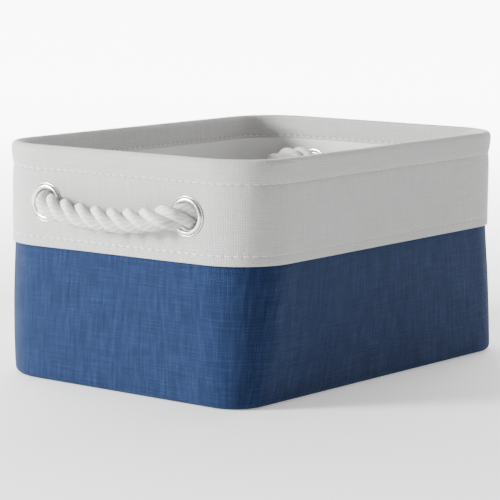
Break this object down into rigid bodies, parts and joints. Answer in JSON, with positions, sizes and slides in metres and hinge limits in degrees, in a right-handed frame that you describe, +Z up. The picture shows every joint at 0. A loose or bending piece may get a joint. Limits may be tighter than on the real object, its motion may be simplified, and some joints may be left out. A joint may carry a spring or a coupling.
{
  "type": "fabric storage bin",
  "caption": "Rectangular open-topped storage bin of soft canvas, with a wire rim, a folded white band over blue walls, a stiff base board and twisted rope handles at both ends.",
  "frame": {"origin": "middle of the underside of the bin", "axes": "+X along the long side, +Y along the short side, +Z up; the rope handles are on the ends at -X and +X"},
  "size_m": [0.3376, 0.2066, 0.15],
  "materials": {
    "blue_canvas": "matt heathered plain-weave canvas",
    "white_canvas": "matt off-white cotton canvas",
    "backing_cloth": "matt stiff interlining",
    "white_lining": "matt thin woven lining",
    "board": "plain grey board",
    "wire": "drawn steel",
    "eyelet_metal": "polished nickel plate",
    "washer_metal": "nickel plate",
    "cotton_rope": "three-strand twisted cotton"
  },
  "bodies": {
    "base": {"blue_wall": "blue_canvas", "blue_bottom": "blue_canvas", "base_board": "board", "lining_wall": "white_lining", "lining_bottom": "white_lining"},
    "rim": {"upper_band": "white_canvas", "band_backing": "backing_cloth", "upper_lining": "white_lining", "rim_wire": "wire", "left_front_eyelet": "eyelet_metal", "left_front_washer": "washer_metal", "left_back_eyelet": "eyelet_metal", "left_back_washer": "washer_metal", "right_front_eyelet": "eyelet_metal", "right_front_washer": "washer_metal", "right_back_eyelet": "eyelet_metal", "right_back_washer": "washer_metal"},
    "left_rope_ends": {"left_front_rope_leg": "cotton_rope", "left_front_knot": "cotton_rope", "left_back_rope_leg": "cotton_rope", "left_back_knot": "cotton_rope"},
    "left_handle": {"left_rope_grip": "cotton_rope"},
    "right_rope_ends": {"right_front_rope_leg": "cotton_rope", "right_front_knot": "cotton_rope", "right_back_rope_leg": "cotton_rope", "right_back_knot": "cotton_rope"},
    "right_handle": {"right_rope_grip": "cotton_rope"}
  },
  "joints": [
    {"name": "rim_drop", "type": "slide", "parent": "base", "child": "rim", "axis": [0, 0, -1], "range_m": [0, 0.073], "deforming": ["blue_wall", "lining_wall"]},
    {"name": "left_handle_pull", "type": "slide", "parent": "rim", "child": "left_rope_ends", "axis": [-1, 0, 0], "range_m": [0, 0.0115]},
    {"name": "left_handle_swing", "type": "hinge", "parent": "left_rope_ends", "child": "left_handle", "pos_m": [-0.1599, 0, 0.115], "axis": [0, 1, 0], "range_deg": [-15, 180]},
    {"name": "right_handle_pull", "type": "slide", "parent": "rim", "child": "right_rope_ends", "axis": [1, 0, 0], "range_m": [0, 0.0115]},
    {"name": "right_handle_swing", "type": "hinge", "parent": "right_rope_ends", "child": "right_handle", "pos_m": [0.1599, 0, 0.115], "axis": [0, -1, 0], "range_deg": [-15, 180]}
  ]
}
